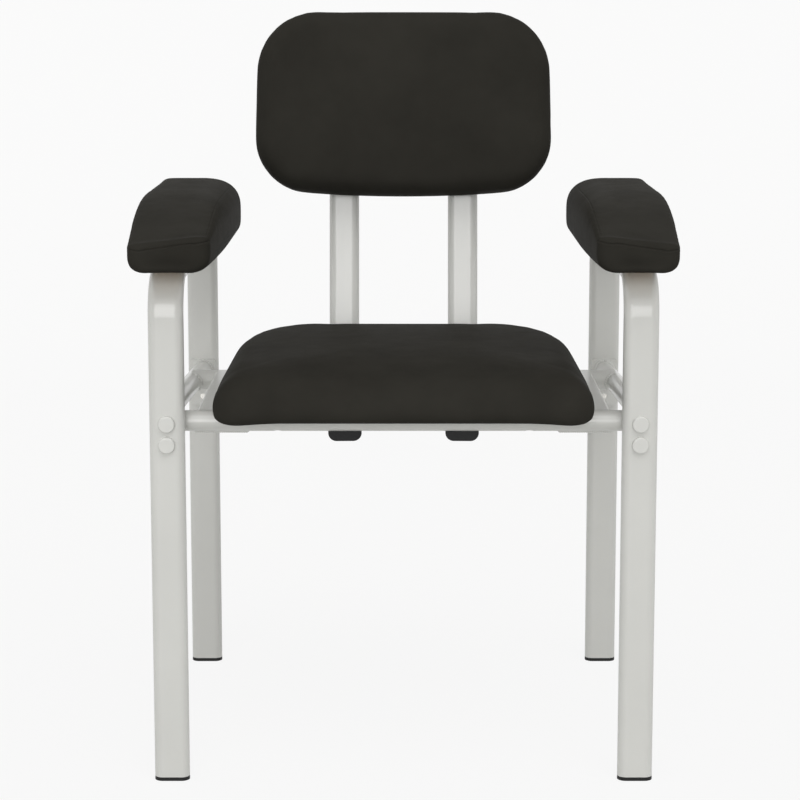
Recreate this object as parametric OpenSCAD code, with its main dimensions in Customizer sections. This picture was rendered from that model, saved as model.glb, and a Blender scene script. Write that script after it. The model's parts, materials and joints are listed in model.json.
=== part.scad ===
// Blood-drawing chair: padded seat, back and two wedge-nosed arm pads on a bolted tube frame.
// Millimetres. The chair faces -Y, +Z is up, and +X is the sitter's left.
// The origin lies on the floor, under the middle of the chair's overall box.

/* [Side frames] */
// Gap between the seat pad's side and the side frame beside it
seat_side_gap = 36; // [32:1:46]
// Distance from the seat pad's rear edge to the rear legs
rear_leg_gap = 99; // [90:1:120]
// Height of the top of a side frame above the floor
frame_h = 620; // [590:1:660]
// Width of the side frame's flat-oval tube
frame_tube_w = 42; // [38:1:46]
// Thickness of the side frame's flat-oval tube
frame_tube_t = 20; // [18:1:24]
// Centre-line radius of a side frame's top bends
frame_bend_r = 46; // [36:1:60]
// Wall of every tube
tube_wall = 1.5; // [1:0.1:2]

/* [Feet] */
// Thickness of the foot's flange under the tube
foot_flange_t = 4.5; // [3:0.5:8]
// Height of the foot's plug inside the tube
foot_plug_h = 18; // [10:1:30]

/* [Seat frame] */
// Height of the centre lines of the crossbars
seat_frame_z = 434; // [424:1:450]
// Diameter of the crossbars and side rails
bar_d = 25; // [22:1:28]
// Distance of the rear crossbar's centre line in front of the seat pad's rear edge
rear_bar_inset = 66.5; // [60:0.5:90]
// Height of a side rail's centre line at the front leg
rail_front_z = 449; // [446:1:454]
// Height of a side rail's centre line at the rear leg
rail_rear_z = 420; // [418:1:440]
// Width of a seat bearer's box tube
bearer_w = 60; // [50:1:62]
// Gap between a seat bearer and the side rail beside it
bearer_gap = 19.5; // [12:0.5:26]

/* [Leg brackets and bolts] */
// Width of a leg bracket
bracket_w = 36; // [30:1:40]
// Height of a leg bracket
bracket_h = 64; // [60:1:76]
// Height of a front leg bracket's middle above the floor
bracket_z = 432; // [426:1:440]
// Thickness of a leg bracket
bracket_t = 8; // [6:0.5:10]
// Diameter of a leg bolt
leg_bolt_d = 8; // [6:0.5:9]
// Distance between the two bolts of a leg
leg_bolt_spacing = 25; // [22:0.5:28]
// Height of the middle between the two bolts of a front leg
leg_bolt_z = 424.5; // [420:0.5:430]
// Diameter of the round cap over a bolt head
bolt_cap_d = 20; // [18:0.5:21]

/* [Backrest bars] */
// Width of a backrest bar's flat-oval tube
back_bar_w = 40; // [36:1:44]
// Thickness of a backrest bar's flat-oval tube
back_bar_t = 20; // [18:1:22]
// Height of the centre line of a bar's run under the seat
back_bar_z = 419.5; // [416:0.5:422]
// Distance a bar stands nearer the middle at the front crossbar than at its upright
back_bar_toe = 10; // [4:1:20]
// Distance between the two uprights
upright_spacing = 160; // [150:1:220]
// Gap between the seat pad's rear edge and the feet of the uprights
upright_gap = 7; // [5:0.5:18]
// Centre-line radius of the bend from run to upright
back_bend_r = 45; // [40:1:48]
// Backward lean of the uprights in degrees
recline = 8; // [5:1:12]
// Length of an upright above its bend
upright_len = 430; // [410:1:440]

/* [Seat pad] */
// Width of the seat pad
seat_w = 444; // [430:1:450]
// Depth of the seat pad
seat_d = 456; // [440:1:458]
// Height of the seat pad at its edge
seat_t = 55.5; // [50:0.5:62]
// Rise of the seat's middle above its edge
seat_crown = 5; // [0:1:10]
// Distance the seat pad reaches in front of the front legs
seat_overhang = 55; // [52:1:70]

/* [Back pad] */
// How much narrower the back pad is than the seat pad on each side
back_side_step = 25.5; // [20:0.5:32]
// Height of the back pad
back_h = 244; // [236:1:260]
// Thickness of the back pad at its edge
back_t = 52; // [44:1:60]
// Rise of the back pad's middle above its edge
back_crown = 6; // [0:1:10]
// Distance of the back pad's middle up the uprights
back_pad_rise = 333; // [325:1:345]

/* [Arm pads] */
// Width of an arm pad
arm_w = 102; // [96:1:110]
// Length of an arm pad
arm_len = 478; // [460:1:490]
// Height of the level part of an arm pad above the side frame
arm_h = 74; // [66:1:86]
// Height of an arm pad's nose above the side frame
arm_nose_h = 40; // [34:1:46]
// How much higher the nose's inner edge is than its outer edge
arm_nose_tilt = 11.5; // [0:0.5:16]
// How much an arm pad narrows on each side at its nose
arm_nose_taper = 4.5; // [0:0.5:8]
// Length of the slope behind the nose
arm_ramp_len = 168; // [140:1:180]
// Distance an arm pad reaches in front of the front legs
arm_overhang = 49; // [40:1:54]
// Distance an arm pad is set inwards from its side frame's centre plane
arm_inset = 9.5; // [6:0.5:14]

/* [Boards and screws] */
// Thickness of the plywood boards
board_t = 12; // [10:0.5:15]
// Thickness of the covered panel behind the backrest
rear_panel_t = 3; // [2:0.5:4]
// Diameter of the pad screws
screw_d = 6; // [5:0.5:6.5]
// Distance between the seat screws along a crossbar
seat_screw_spacing = 300; // [260:1:320]
// Distance of the lower backrest screws up the uprights
back_screw_low = 268; // [255:1:280]
// Distance of the upper backrest screws up the uprights
back_screw_high = 398; // [380:1:405]
// Distance of the front arm screw behind the front face of the front legs
arm_screw_front = 130; // [100:1:160]
// Distance of the rear arm screw in front of the arm pad's rear end
arm_screw_inset = 59; // [45:1:90]

/* [Hidden] */
$fn = 48;
// Clearance of a plug in its tube, and of welded tubes at their shaped joints
fit_gap = 0.2;
// Clearance between a soft pad and what it rests on
soft_gap = 0.3;
// Extra length by which a cut passes its surface
overrun = 1;
// Radius of the small rounded corners of plates
plate_corner_r = 4;

// Bolt head, bolt and cap
bolt_head_d = 13.5;
bolt_head_h = 3.8;
bolt_clearance = 0.25;
cap_wall = 1.2;
cap_edge_r = 1.8;
cap_h = bolt_head_h + cap_wall + fit_gap;
bolt_end_gap = 1;
// How much lower than the front ones the rear brackets and bolts are
rear_bolt_drop = rail_front_z - rail_rear_z;

// Places along Y, measured from the middle of the chair's overall box
seat_reach = seat_d - seat_overhang;
leg_spacing = seat_reach + rear_leg_gap;
overall_depth = seat_overhang + leg_spacing + frame_tube_t + cap_h;
front_face_y = seat_overhang - overall_depth / 2;
front_leg_y = front_face_y + frame_tube_t / 2;
rear_leg_y = front_leg_y + leg_spacing;
front_plate_y = front_face_y + frame_tube_t;
rear_plate_y = rear_leg_y - frame_tube_t / 2 - bracket_t;
front_bar_y = front_plate_y + bracket_t + bar_d / 2;
rear_bar_y = front_face_y + seat_reach - rear_bar_inset;

// Places across the chair and up it
frame_x = seat_w / 2 + seat_side_gap + frame_tube_w / 2;
bearer_x = frame_x - bar_d / 2 - bearer_gap - bearer_w / 2;
seat_base_z = seat_frame_z + bar_d / 2;
bend_centre_z = frame_h - frame_tube_t / 2 - frame_bend_r;
crossbar_half_len = frame_x + bracket_w / 2;

// Round plugs in the ends of the front and rear crossbars
bar_plug_flange_t = 2;
bar_plug_depth = 12;

// Corner radius of the seat bearers' box tube
bearer_corner_r = 3;

// Flat-oval plugs of the backrest bars
bar_end_flange_t = 2.5;
bar_end_depth = 12;

// Bend of a backrest bar
upright_foot_y = front_face_y + seat_reach + upright_gap + back_bar_t / 2;
run_end_y = upright_foot_y - back_bend_r * cos(recline);
bend_sweep = 90 - recline;
upright_foot_z = back_bar_z + back_bend_r * (1 - sin(recline));
// Radius of the slight sideways bend that sets a bar straight before its upright
toe_bend_r = 100;
// Length of the straight stretch between the sideways bend and the upward one
toe_straight_len = 6;
// How far bending thins the bar's wall from each face, and how far a bend runs into its straights
bend_thinning = 0.05;
bend_lap_angle = 1;
toe_end_y = run_end_y - toe_straight_len;
run_depth = toe_end_y - front_bar_y;
toe_reach = norm([run_depth, toe_bend_r - back_bar_toe]);
toe_in = asin(toe_bend_r / toe_reach) - atan2(toe_bend_r - back_bar_toe, run_depth);
run_len = (run_depth - toe_bend_r * sin(toe_in)) / cos(toe_in);

// Seat pad
seat_mid_y = front_face_y - seat_overhang + seat_d / 2;
seat_edge_r = 37;
seat_hem_r = 5.5;
seat_front_corner_r = 38;
// A rear corner of the seat is longer than wide
seat_rear_corner_w = 102;
seat_rear_corner_d = 160;
seat_rear_taper = 4;
seat_board_margin = 9;
under_cloth_t = 0.8;

// Back pad
back_w = seat_w - 2 * back_side_step;
back_edge_r = 22;
back_hem_r = 7;
back_corner_r = 79;
back_taper = 2;
back_bow = 6;
back_board_margin = 10;

// Arm pad
arm_y = front_face_y - arm_overhang;
arm_x = frame_x - arm_inset;
arm_board_side_margin = 22;
arm_board_end_margin = 20;
arm_board_corner_r = 12;
arm_nose_r = 14;
arm_tail_r = 22;
// Share of the slope that is straight before it rounds into the level part
arm_straight_share = 0.8;
// Share of the height at which a section is widest, at the nose and along the level part
arm_nose_belly_share = 0.65;
arm_belly_share = 0.45;
// How far a section's lower half is drawn past its underside, which cuts it flat
arm_flat_share = 1.06;
// Squareness of a section's corners: upper outer, upper inner, lower inner, lower outer
arm_nose_squareness = [9, 6.5, 2.9, 3.8];
arm_squareness = [10, 2.6, 4, 4.4];

// Tee nuts and screw heads
tee_flange_d = 18;
tee_flange_t = 1.2;
tee_barrel_d = 8;
tee_barrel_share = 0.75;
screw_head_d = 11;
screw_head_h = 3.5;
screw_clearance = 0.15;
tee_recess = tee_flange_t + fit_gap;
// A seat screw's head rests inside a crossbar, as high as the round wall lets it
access_hole_d = screw_head_d + 1.5;
seat_head_rise = sqrt(pow(bar_d / 2 - tube_wall, 2) - pow(screw_head_d / 2 + screw_clearance, 2));
seat_head_z = seat_frame_z + seat_head_rise;

// Helpers for tubes

// A flat-oval outline: straight faces along X, half-round ends
module flat_oval(w, t) {
    square([w - t, t], center = true);
    for (s = [-1, 1]) translate([s * (w - t) / 2, 0]) circle(d = t);
}

// A straight bar of flat-oval section that runs along +Z
module oval_post(w, t, len) {
    linear_extrude(len) flat_oval(w, t);
}

// A straight bar of flat-oval section that runs along +Y
module oval_run(w, t, len) {
    rotate([-90, 0, 0]) oval_post(w, t, len);
}

// A bend in the YZ plane about its own centre, from angle start through sweep
module oval_bend(w, t, r, start, sweep) {
    rotate([90, 0, 90]) rotate([0, 0, start])
        rotate_extrude(angle = sweep) translate([r, 0]) rotate([0, 0, 90]) flat_oval(w, t);
}

// A round bar that runs along X, centred on the chair's middle plane
module cross_rod(d, len) {
    rotate([0, 90, 0]) cylinder(d = d, h = len, center = true);
}

// The room that a welded neighbour leaves for the two crossbars
module crossbar_room() {
    for (y = [front_bar_y, rear_bar_y])
        translate([0, y, seat_frame_z]) cross_rod(bar_d + 2 * fit_gap, 2 * frame_x + bracket_w);
}

module mirrored_pair() {
    children();
    mirror([1, 0, 0]) children();
}

// Side frames: one tube each, bent twice to an inverted U

module side_frame_form(w, t, z_bottom) {
    leg_len = bend_centre_z - z_bottom;
    for (y = [front_leg_y, rear_leg_y]) translate([0, y, z_bottom]) oval_post(w, t, leg_len);
    translate([0, front_leg_y + frame_bend_r, bend_centre_z])
        oval_bend(w, t, frame_bend_r, 90, 90);
    translate([0, rear_leg_y - frame_bend_r, bend_centre_z])
        oval_bend(w, t, frame_bend_r, 0, 90);
    translate([0, front_leg_y + frame_bend_r, bend_centre_z + frame_bend_r])
        oval_run(w, t, leg_spacing - 2 * frame_bend_r);
}

module leg_bolt_hole(y, z, d) {
    translate([0, y, z]) rotate([90, 0, 0]) cylinder(d = d, h = frame_tube_t + 2 * overrun, center = true);
}

module leg_bolt_holes(d) {
    for (s = [-1, 1]) {
        z = leg_bolt_z + s * leg_bolt_spacing / 2;
        leg_bolt_hole(front_leg_y, z, d);
        leg_bolt_hole(rear_leg_y, z - rear_bolt_drop, d);
    }
}

module arm_screw_places() {
    for (y = [front_face_y + arm_screw_front, arm_y + arm_len - arm_screw_inset])
        translate([frame_x, y, 0]) children();
}

module side_frame() {
    color("gainsboro") difference() {
        translate([frame_x, 0, 0]) side_frame_form(frame_tube_w, frame_tube_t, foot_flange_t);
        translate([frame_x, 0, 0])
            side_frame_form(frame_tube_w - 2 * tube_wall, frame_tube_t - 2 * tube_wall,
                foot_flange_t - overrun);
        translate([frame_x, 0, 0]) leg_bolt_holes(leg_bolt_d + 2 * bolt_clearance);
        arm_screw_places() translate([0, 0, frame_h - frame_tube_t - overrun])
            cylinder(d = screw_d + 2 * screw_clearance, h = frame_tube_t + 2 * overrun);
    }
}

// Feet: a black flange under the tube and a plug inside it

module foot(y) {
    inner_w = frame_tube_w - 2 * tube_wall - 2 * fit_gap;
    inner_t = frame_tube_t - 2 * tube_wall - 2 * fit_gap;
    color("black") translate([frame_x, y, 0]) {
        oval_post(frame_tube_w, frame_tube_t, foot_flange_t);
        oval_post(inner_w, inner_t, foot_flange_t + foot_plug_h);
    }
}

// Seat frame: two crossbars, two side rails and two bearers, welded together

// Holes of the seat screws: a small one in the bar's top wall and a wide one below for the head
module seat_screw_holes() {
    seat_screw_places() translate([0, 0, seat_frame_z]) {
        cylinder(d = screw_d + 2 * screw_clearance, h = bar_d);
        mirror([0, 0, 1]) cylinder(d = access_hole_d, h = bar_d);
    }
}

module front_crossbar() {
    color("gainsboro") difference() {
        translate([0, front_bar_y, seat_frame_z]) cross_rod(bar_d, 2 * crossbar_half_len);
        translate([0, front_bar_y, seat_frame_z])
            cross_rod(bar_d - 2 * tube_wall, 2 * crossbar_half_len + 2 * overrun);
        seat_screw_holes();
    }
}

// The rear crossbar ends in a saddle against each side rail
module rear_crossbar() {
    color("gainsboro") difference() {
        translate([0, rear_bar_y, seat_frame_z]) cross_rod(bar_d, 2 * frame_x);
        translate([0, rear_bar_y, seat_frame_z])
            cross_rod(bar_d - 2 * tube_wall, 2 * frame_x + 2 * overrun);
        mirrored_pair() rail_solid(bar_d + 2 * fit_gap, overrun);
        seat_screw_holes();
    }
}

module crossbar_plugs() {
    plug_d = bar_d - 2 * tube_wall - 2 * fit_gap;
    color("black") mirrored_pair()
        translate([crossbar_half_len, front_bar_y, seat_frame_z]) rotate([0, 90, 0]) {
            cylinder(d = bar_d, h = bar_plug_flange_t);
            translate([0, 0, -bar_plug_depth])
                cylinder(d = plug_d, h = bar_plug_depth + bar_plug_flange_t);
        }
}

// A side rail falls from the front leg to the rear leg, between the two brackets' faces
module rail_solid(d, extra) {
    y_start = front_plate_y + bracket_t;
    len = rear_plate_y - y_start;
    fall = atan((rail_front_z - rail_rear_z) / len);
    true_len = len / cos(fall);
    intersection() {
        translate([frame_x, y_start, rail_front_z]) rotate([-90 - fall, 0, 0])
            translate([0, 0, -bar_d]) cylinder(d = d, h = true_len + 2 * bar_d);
        translate([frame_x - bar_d, y_start - extra, rail_rear_z - 2 * bar_d])
            cube([2 * bar_d, len + 2 * extra, rail_front_z - rail_rear_z + 4 * bar_d]);
    }
}

module side_rail() {
    color("gainsboro") difference() {
        rail_solid(bar_d, 0);
        rail_solid(bar_d - 2 * tube_wall, overrun);
        translate([0, front_bar_y, seat_frame_z])
            cross_rod(bar_d + 2 * fit_gap, 2 * crossbar_half_len + 2 * overrun);
    }
}

// A seat bearer, a box tube, runs from crossbar to crossbar, its ends shaped to them
module seat_bearer() {
    inner_r = bearer_corner_r - tube_wall;
    bearer_len = rear_bar_y - front_bar_y;
    color("gainsboro") difference() {
        translate([bearer_x, front_bar_y, seat_frame_z]) rotate([-90, 0, 0]) linear_extrude(bearer_len)
            difference() {
                rounded_plate(bearer_w, bar_d, bearer_corner_r);
                rounded_plate(bearer_w - 2 * tube_wall, bar_d - 2 * tube_wall, inner_r);
            }
        crossbar_room();
    }
}

// Leg brackets: thick plates with two tapped holes

module bracket(y, drop) {
    color("gainsboro") translate([frame_x, y, -drop]) difference() {
        translate([0, 0, bracket_z]) rotate([-90, 0, 0]) linear_extrude(bracket_t)
            rounded_plate(bracket_w, bracket_h, plate_corner_r);
        for (s = [-1, 1])
            translate([0, -overrun, leg_bolt_z + s * leg_bolt_spacing / 2]) rotate([-90, 0, 0])
                cylinder(d = leg_bolt_d + 2 * screw_clearance, h = bracket_t + 2 * overrun);
    }
}

// A rectangle with round corners, made of exact pieces
module rounded_plate(w, h, r) {
    square([w - 2 * r, h], center = true);
    square([w, h - 2 * r], center = true);
    for (x = [-1, 1], y = [-1, 1]) translate([x * (w / 2 - r), y * (h / 2 - r)]) circle(r = r);
}

// Leg bolts and caps: heads on the front face of the front leg and the rear face of the rear leg

module leg_bolt() {
    bolt_len = frame_tube_t + bracket_t - bolt_end_gap;
    rotate([-90, 0, 0]) {
        cylinder(d = leg_bolt_d, h = bolt_len);
        translate([0, 0, -bolt_head_h]) cylinder(d = bolt_head_d, h = bolt_head_h);
    }
}

module bolt_cap() {
    rotate([90, 0, 0]) rotate_extrude() difference() {
        union() {
            square([bolt_cap_d / 2, cap_h - cap_edge_r]);
            square([bolt_cap_d / 2 - cap_edge_r, cap_h]);
            translate([bolt_cap_d / 2 - cap_edge_r, cap_h - cap_edge_r]) intersection() {
                circle(r = cap_edge_r);
                square(cap_edge_r);
            }
        }
        square([bolt_head_d / 2 + fit_gap, bolt_head_h + fit_gap]);
    }
}

module leg_bolt_places() {
    mirrored_pair() for (s = [-1, 1]) {
        z = leg_bolt_z + s * leg_bolt_spacing / 2;
        translate([frame_x, front_face_y, z]) children();
        translate([frame_x, rear_leg_y + frame_tube_t / 2, z - rear_bolt_drop])
            rotate([0, 0, 180]) children();
    }
}

module leg_bolts() {
    color("silver") leg_bolt_places() leg_bolt();
}

module bolt_caps() {
    color("gainsboro") leg_bolt_places() bolt_cap();
}

// Backrest bars: a run notched under both crossbars, a bend and a leaning upright

// Puts children in the frame of an upright: +Z up its centre line, -Y to the sitter
module at_upright_foot() {
    translate([0, upright_foot_y, upright_foot_z]) rotate([-recline, 0, 0]) children();
}

// Puts children in the frame of a run: +Y along its centre line from its front end
module at_run_front() {
    at_toe_bend() translate([toe_bend_r, -run_len, 0]) children();
}

module at_toe_bend() {
    translate([upright_spacing / 2 - toe_bend_r, toe_end_y, back_bar_z]) rotate([0, 0, -toe_in])
        children();
}

// The wall of a backrest bar in section, a little thinner where the bar is bent
module back_bar_section(thinning) {
    wall = tube_wall - thinning;
    difference() {
        flat_oval(back_bar_w - 2 * thinning, back_bar_t - 2 * thinning);
        flat_oval(back_bar_w - 2 * wall, back_bar_t - 2 * wall);
    }
}

module backrest_bar_form() {
    at_run_front() rotate([-90, 0, 0]) linear_extrude(run_len) back_bar_section(0);
    at_toe_bend() rotate([0, 0, -bend_lap_angle])
        rotate_extrude(angle = toe_in + 2 * bend_lap_angle)
            translate([toe_bend_r, 0]) back_bar_section(bend_thinning);
    translate([upright_spacing / 2, toe_end_y, back_bar_z]) rotate([-90, 0, 0])
        linear_extrude(toe_straight_len) back_bar_section(0);
    translate([upright_spacing / 2, run_end_y, back_bar_z + back_bend_r]) {
        rotate([90, 0, 90]) rotate([0, 0, -90 - bend_lap_angle])
            rotate_extrude(angle = bend_sweep + 2 * bend_lap_angle)
                translate([back_bend_r, 0]) rotate([0, 0, 90]) back_bar_section(bend_thinning);
        rotate([-recline, 0, 0]) translate([0, back_bend_r, 0])
            linear_extrude(upright_len) back_bar_section(0);
    }
}

module backrest_bar() {
    color("gainsboro") difference() {
        backrest_bar_form();
        crossbar_room();
        at_upright_foot() back_screw_places()
            translate([0, back_bar_t / 2 + overrun, 0]) rotate([90, 0, 0])
                cylinder(d = screw_d + 2 * screw_clearance, h = back_bar_t + 2 * overrun);
    }
}

// A flat-oval plug: a flange outside the tube and a spigot inside it, along +Z
module oval_plug() {
    spigot_w = back_bar_w - 2 * tube_wall - 2 * fit_gap;
    spigot_t = back_bar_t - 2 * tube_wall - 2 * fit_gap;
    oval_post(back_bar_w, back_bar_t, bar_end_flange_t);
    translate([0, 0, -bar_end_depth]) oval_post(spigot_w, spigot_t, bar_end_depth + fit_gap);
}

// The front plugs lie under the front crossbar, which takes their upper half
module bar_front_plugs() {
    color("black") mirrored_pair() difference() {
        at_run_front() rotate([90, 0, 0]) oval_plug();
        crossbar_room();
    }
}

module bar_top_plugs() {
    color("black") at_upright_foot() mirrored_pair()
        translate([upright_spacing / 2, 0, upright_len]) oval_plug();
}

// Screws and tee nuts. A screw points along +Z with its head under the origin.

module pad_screw(len) {
    cylinder(d = screw_d, h = len);
    translate([0, 0, -screw_head_h]) cylinder(d = screw_head_d, h = screw_head_h);
}

// A tee nut hangs down from its flange, whose top is at the origin
module tee_nut() {
    translate([0, 0, -tee_flange_t]) difference() {
        union() {
            cylinder(d = tee_flange_d, h = tee_flange_t);
            translate([0, 0, -board_t * tee_barrel_share])
                cylinder(d = tee_barrel_d, h = board_t * tee_barrel_share);
        }
        translate([0, 0, -board_t]) cylinder(d = screw_d + 2 * screw_clearance, h = 2 * board_t);
    }
}

// The hole for a tee nut in a board whose top is at the origin
module tee_nut_hole() {
    translate([0, 0, -tee_recess]) cylinder(d = tee_flange_d + 2 * fit_gap, h = tee_recess + overrun);
    translate([0, 0, -board_t - overrun])
        cylinder(d = tee_barrel_d + 2 * fit_gap, h = board_t + 2 * overrun);
}

module seat_screw_places() {
    for (s = [-1, 1], y = [front_bar_y, rear_bar_y])
        translate([s * seat_screw_spacing / 2, y, 0]) children();
}

module back_screw_places() {
    for (s = [-1, 1], z = [back_screw_low, back_screw_high])
        translate([s * upright_spacing / 2, 0, z]) children();
}

// Outlines and lofts of the pads

function power(v, e) = sign(v) * pow(abs(v), e);

// A quarter turn about a corner's centre, with its two radii
corner_steps = 8;
function corner_points(x, y, rx, ry, start) =
    [for (i = [0 : corner_steps]) let (a = start + 90 * i / corner_steps)
        [x + rx * cos(a), y + ry * sin(a)]];

// A pad's outline drawn in by inset: its sides close by taper, and its front edge bows out by bow
front_steps = 6;
function pad_outline(w, d, front_r, rear_rx, rear_ry, taper, bow, inset) = let (
    half_d = d / 2 - inset, front = w / 2 - inset, rear = front - taper,
    f = front_r - inset, rx = rear_rx - inset, ry = rear_ry - inset,
    ring = concat(
        corner_points(rear - rx, half_d - ry, rx, ry, 0),
        corner_points(rx - rear, half_d - ry, rx, ry, 90),
        corner_points(f - front, f - half_d, f, f, 180),
        [for (i = [1 : front_steps - 1]) [(f - front) * (1 - 2 * i / front_steps), -half_d]],
        corner_points(front - f, f - half_d, f, f, 270)
    ))
    [for (q = ring) let (bowed = q[1] < 0 ? (1 - pow(q[0] / front, 2)) * pow(q[1] / half_d, 2) : 0)
        [q[0], q[1] - bow * bowed]];

// The seat seen from above, and the back seen from the front
function seat_outline(inset) = pad_outline(seat_w, seat_d, seat_front_corner_r,
    seat_rear_corner_w, seat_rear_corner_d, seat_rear_taper, 0, inset);
function back_outline(inset) = pad_outline(back_w, back_h, back_corner_r,
    back_corner_r, back_corner_r, back_taper, back_bow, inset);

// Inset and height of each ring of a pad's rim: hem, side and edge, from the underside up
function rim_rings(hem_r, edge_r, t) = concat(
    [for (a = [0 : 30 : 90]) [hem_r * (1 - sin(a)), hem_r * (1 - cos(a))]],
    [for (a = [0 : 15 : 90]) [edge_r * (1 - cos(a)), t - edge_r * (1 - sin(a))]]
);

// A solid through rings of equal count, stacked along +Z, each counter-clockwise from above
module loft(rings) {
    n = len(rings[0]);
    m = len(rings);
    ends = [for (r = [rings[0], rings[m - 1]]) [for (k = [0 : 2]) ring_mean(r, k)]];
    sides = [for (k = [0 : m - 2], i = [0 : n - 1]) let (j = (i + 1) % n)
        each [[k * n + i, (k + 1) * n + i, (k + 1) * n + j], [k * n + i, (k + 1) * n + j, k * n + j]]];
    caps = [for (i = [0 : n - 1]) let (j = (i + 1) % n)
        each [[i, j, m * n], [(m - 1) * n + j, (m - 1) * n + i, m * n + 1]]];
    polyhedron(points = concat([for (r = rings) each r], ends), faces = concat(sides, caps));
}

function ring_mean(ring, axis, i = 0) =
    i < len(ring) ? ring[i][axis] / len(ring) + ring_mean(ring, axis, i + 1) : 0;

// A pad on its underside, whose crown rises from the rim's inner edge to the middle
module crowned_pad(outline, hem_r, edge_r, t, crown) {
    rim = [for (p = rim_rings(hem_r, edge_r, t)) [for (q = outline(p[0])) [q[0], q[1], p[1]]]];
    top = [for (s = [0.75 : -0.25 : 0.25])
        [for (q = outline(edge_r)) [s * q[0], s * q[1], t + crown * (1 - s * s)]]];
    loft(concat(rim, top));
}

// Seat: cloth, board, cushion

module seat_board_form(t, gap) {
    linear_extrude(t) polygon(seat_outline(seat_board_margin - gap));
}

module seat_board() {
    color("burlywood") difference() {
        translate([0, seat_mid_y, seat_base_z + under_cloth_t]) seat_board_form(board_t, 0);
        seat_screw_places() translate([0, 0, seat_base_z + under_cloth_t + board_t]) tee_nut_hole();
    }
}

module seat_under_cloth() {
    color("black") difference() {
        translate([0, seat_mid_y, seat_base_z]) seat_board_form(under_cloth_t, 0);
        seat_screw_places() translate([0, 0, seat_base_z - overrun])
            cylinder(d = screw_d + 2 * screw_clearance, h = under_cloth_t + 2 * overrun);
    }
}

module seat_cushion() {
    color("black") difference() {
        translate([0, seat_mid_y, seat_base_z + soft_gap])
            crowned_pad(function(inset) seat_outline(inset), seat_hem_r, seat_edge_r,
                seat_t, seat_crown);
        translate([0, seat_mid_y, seat_base_z - overrun])
            seat_board_form(board_t + under_cloth_t + overrun + soft_gap, soft_gap);
    }
}

module seat_screws() {
    screw_len = seat_base_z + under_cloth_t + board_t * tee_barrel_share - seat_head_z;
    color("silver") seat_screw_places() translate([0, 0, seat_head_z]) pad_screw(screw_len);
}

module seat_tee_nuts() {
    color("silver") seat_screw_places()
        translate([0, 0, seat_base_z + under_cloth_t + board_t]) tee_nut();
}

// Backrest, in the frame of the uprights: rear panel, board, cushion

back_face_y = -back_bar_t / 2;

module at_back_pad(depth) {
    at_upright_foot() translate([0, back_face_y - depth, back_pad_rise]) rotate([90, 0, 0]) children();
}

module back_board_form(t, gap) {
    linear_extrude(t) polygon(back_outline(back_board_margin - gap));
}

module at_back_screws() {
    at_upright_foot() back_screw_places()
        translate([0, back_face_y, 0]) rotate([90, 0, 0]) children();
}

module backrest_rear_panel() {
    color("black") difference() {
        at_back_pad(0) back_board_form(rear_panel_t, 0);
        at_back_screws() translate([0, 0, -overrun])
            cylinder(d = screw_d + 2 * screw_clearance, h = rear_panel_t + 2 * overrun);
    }
}

module backrest_board() {
    color("burlywood") difference() {
        at_back_pad(rear_panel_t) back_board_form(board_t, 0);
        at_back_screws() translate([0, 0, rear_panel_t + board_t]) tee_nut_hole();
    }
}

module backrest_cushion() {
    color("black") difference() {
        at_back_pad(soft_gap) crowned_pad(function(inset) back_outline(inset), back_hem_r,
            back_edge_r, back_t, back_crown);
        at_back_pad(-overrun) back_board_form(board_t + rear_panel_t + overrun + soft_gap, soft_gap);
    }
}

module backrest_screws() {
    screw_len = back_bar_t + rear_panel_t + board_t * tee_barrel_share;
    color("silver") at_back_screws() translate([0, 0, -back_bar_t]) pad_screw(screw_len);
}

module backrest_tee_nuts() {
    color("silver") at_back_screws() translate([0, 0, rear_panel_t + board_t]) tee_nut();
}

// Arm pads: board and wedge-nosed cushion on each side frame

module arm_board_form(t, gap) {
    linear_extrude(t) translate([arm_x, arm_y + arm_len / 2])
        rounded_plate(arm_w - 2 * (arm_board_side_margin - gap),
            arm_len - 2 * (arm_board_end_margin - gap), arm_board_corner_r + gap);
}

module arm_board() {
    color("burlywood") difference() {
        translate([0, 0, frame_h]) arm_board_form(board_t, 0);
        arm_screw_places() translate([0, 0, frame_h + board_t]) tee_nut_hole();
    }
}

// Height of the pad's top above its underside at a distance behind the nose
function arm_top(y) = let (
    s = max((y - arm_nose_r) / arm_ramp_len, 0), a = arm_straight_share,
    rise = s < a ? s : (s < 2 - a ? s - pow(s - a, 2) / (4 * (1 - a)) : 1))
    arm_nose_h + (arm_h - arm_nose_h) * rise;

// Distance behind the nose and inset of each section of an arm pad
arm_ramp_steps = 8;
arm_ramp_end = arm_nose_r + arm_ramp_len * (2 - arm_straight_share);
arm_stations = concat(
    [for (a = [90 : -30 : 30]) [arm_nose_r * (1 - sin(a)), arm_nose_r * (1 - cos(a))]],
    [for (i = [0 : arm_ramp_steps])
        [arm_nose_r + (arm_ramp_end - arm_nose_r) * i / arm_ramp_steps, 0]],
    [for (a = [0 : 22.5 : 90])
        [arm_len - arm_tail_r * (1 - sin(a)), arm_tail_r * (1 - cos(a))]]
);

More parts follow.
